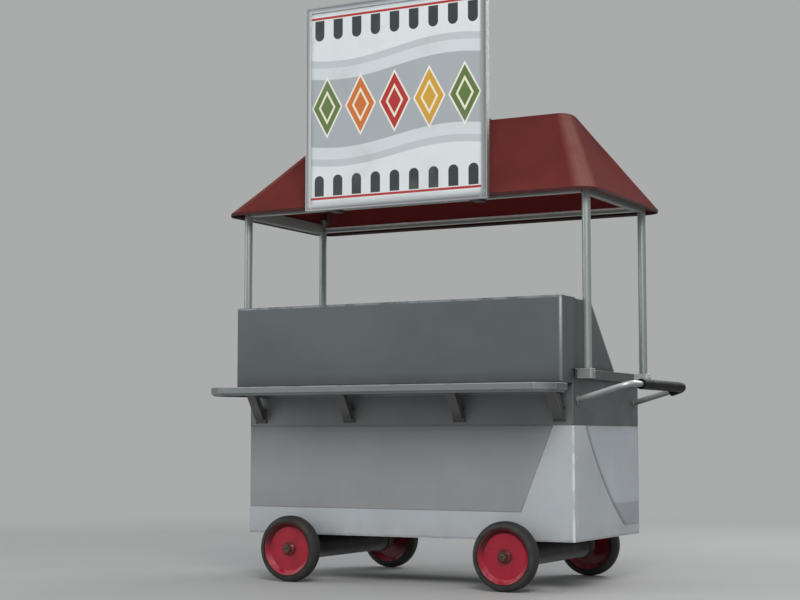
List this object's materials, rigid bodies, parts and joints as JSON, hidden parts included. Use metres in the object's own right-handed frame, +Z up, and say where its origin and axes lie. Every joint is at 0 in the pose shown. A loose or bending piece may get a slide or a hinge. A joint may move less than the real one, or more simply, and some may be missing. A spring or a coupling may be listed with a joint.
{
  "type": "hot dog cart",
  "caption": "Wheeled street food cart with a long serving shelf, hinged hood lids over food pans, storage doors, a push handle, and a hipped canopy on posts that carries a sign board.",
  "frame": {"origin": "on the floor, under the middle of the whole cart's bounding box", "axes": "+X along the cart towards the push handle, -Y towards the customers, +Z up"},
  "size_m": [2.213, 1.356, 2.902],
  "materials": {
    "cabinet_paint": "satin paint over sheet steel, scuffed edges",
    "front_inlay_paint": "satin grey paint",
    "end_inlay_paint": "satin pale grey paint",
    "apron_steel": "dull brushed steel with bright worn edges",
    "counter_steel": "brushed stainless steel",
    "lid_steel": "brushed stainless steel",
    "door_paint": "satin paint over sheet steel",
    "bracket_steel": "plain pressed steel",
    "post_steel": "dull galvanised steel",
    "canopy_cloth": "maroon coated canopy cloth",
    "sign_aluminium": "satin aluminium section",
    "sign_board": "printed white board",
    "chassis_black": "black chassis paint",
    "wheel_red": "crimson gloss paint",
    "tyre_rubber": "dusty charcoal rubber",
    "nut_brass": "dull brass plating",
    "bright_steel": "polished steel",
    "grip_rubber": "black rubber sleeve",
    "burner_iron": "bare cast iron",
    "gas_brass": "drawn brass pipe and fittings",
    "cylinder_shell": "pale composite shell",
    "knob_plastic": "black moulded plastic"
  },
  "bodies": {
    "cart": {"front_panel": "cabinet_paint", "end_panels": "cabinet_paint", "front_inlay": "front_inlay_paint", "end_inlays": "end_inlay_paint", "apron_panels": "apron_steel", "back_apron": "apron_steel", "fascia_box": "apron_steel", "hood_ends": "apron_steel", "hood_top": "apron_steel", "hood_mullions": "apron_steel", "counter_top": "counter_steel", "serving_shelf": "counter_steel", "food_pans": "counter_steel", "water_tank": "counter_steel", "back_frame": "door_paint", "shelf_brackets": "bracket_steel", "sign_brackets": "bracket_steel", "bulkhead": "bracket_steel", "floor_panel": "bracket_steel", "canopy_posts": "post_steel", "canopy_rails": "post_steel", "post_sockets": "post_steel", "canopy_rafters": "post_steel", "canopy_cover": "canopy_cloth", "sign_frame": "sign_aluminium", "sign_panel": "sign_board", "chassis_frame": "chassis_black", "axles": "chassis_black", "axle_hangers": "chassis_black", "hub_nuts": "nut_brass", "push_handle": "bright_steel", "hinge_leaves": "bright_steel", "handle_grip": "grip_rubber", "burners": "burner_iron", "gas_manifold": "gas_brass", "gas_regulator": "gas_brass", "gas_cylinder": "cylinder_shell"},
    "wheel_front_left": {"tyre_front_left": "tyre_rubber", "wheel_disc_front_left": "wheel_red"},
    "wheel_front_right": {"tyre_front_right": "tyre_rubber", "wheel_disc_front_right": "wheel_red"},
    "wheel_rear_left": {"tyre_rear_left": "tyre_rubber", "wheel_disc_rear_left": "wheel_red"},
    "wheel_rear_right": {"tyre_rear_right": "tyre_rubber", "wheel_disc_rear_right": "wheel_red"},
    "lid_1_leaf": {"lid_1": "lid_steel", "lid_handle_1": "bright_steel"},
    "lid_2_leaf": {"lid_2": "lid_steel", "lid_handle_2": "bright_steel"},
    "lid_3_leaf": {"lid_3": "lid_steel", "lid_handle_3": "bright_steel"},
    "door_left_leaf": {"door_left": "door_paint", "door_pull_left": "bright_steel"},
    "door_middle_leaf": {"door_middle": "door_paint", "door_pull_middle": "bright_steel"},
    "door_gas_leaf": {"door_gas": "door_paint", "door_pull_gas": "bright_steel"},
    "valve_knob_1": {"knob_1": "knob_plastic"},
    "valve_knob_2": {"knob_2": "knob_plastic"},
    "valve_knob_3": {"knob_3": "knob_plastic"}
  },
  "joints": [
    {"name": "wheel_front_left_spin", "type": "hinge", "parent": "cart", "child": "wheel_front_left", "pos_m": [-0.6715, -0.413, 0.164], "axis": [0, 1, 0], "continuous": true},
    {"name": "wheel_front_right_spin", "type": "hinge", "parent": "cart", "child": "wheel_front_right", "pos_m": [0.5105, -0.413, 0.164], "axis": [0, 1, 0], "continuous": true},
    {"name": "wheel_rear_left_spin", "type": "hinge", "parent": "cart", "child": "wheel_rear_left", "pos_m": [-0.6715, 0.639, 0.164], "axis": [0, 1, 0], "continuous": true},
    {"name": "wheel_rear_right_spin", "type": "hinge", "parent": "cart", "child": "wheel_rear_right", "pos_m": [0.5105, 0.639, 0.164], "axis": [0, 1, 0], "continuous": true},
    {"name": "lid_1_hinge", "type": "hinge", "parent": "cart", "child": "lid_1_leaf", "pos_m": [-0.6615, -0.025, 1.3835], "axis": [1, 0, 0], "range_deg": [0, 150]},
    {"name": "lid_2_hinge", "type": "hinge", "parent": "cart", "child": "lid_2_leaf", "pos_m": [-0.0805, -0.025, 1.3835], "axis": [1, 0, 0], "range_deg": [0, 150]},
    {"name": "lid_3_hinge", "type": "hinge", "parent": "cart", "child": "lid_3_leaf", "pos_m": [0.5005, -0.025, 1.3835], "axis": [1, 0, 0], "range_deg": [0, 150]},
    {"name": "door_left_hinge", "type": "hinge", "parent": "cart", "child": "door_left_leaf", "pos_m": [-0.9585, 0.5663, 0.5475], "axis": [0, 0, 1], "range_deg": [0, 110]},
    {"name": "door_middle_hinge", "type": "hinge", "parent": "cart", "child": "door_middle_leaf", "pos_m": [-0.37317, 0.5663, 0.5475], "axis": [0, 0, 1], "range_deg": [0, 110]},
    {"name": "door_gas_hinge", "type": "hinge", "parent": "cart", "child": "door_gas_leaf", "pos_m": [0.7975, 0.5663, 0.5475], "axis": [0, 0, -1], "range_deg": [0, 110]},
    {"name": "valve_1_turn", "type": "hinge", "parent": "cart", "child": "valve_knob_1", "pos_m": [-0.6615, 0.559, 0.866], "axis": [0, 1, 0], "range_deg": [0, 270]},
    {"name": "valve_2_turn", "type": "hinge", "parent": "cart", "child": "valve_knob_2", "pos_m": [-0.0805, 0.559, 0.866], "axis": [0, 1, 0], "range_deg": [0, 270]},
    {"name": "valve_3_turn", "type": "hinge", "parent": "cart", "child": "valve_knob_3", "pos_m": [0.5005, 0.559, 0.866], "axis": [0, 1, 0], "range_deg": [0, 270]}
  ]
}
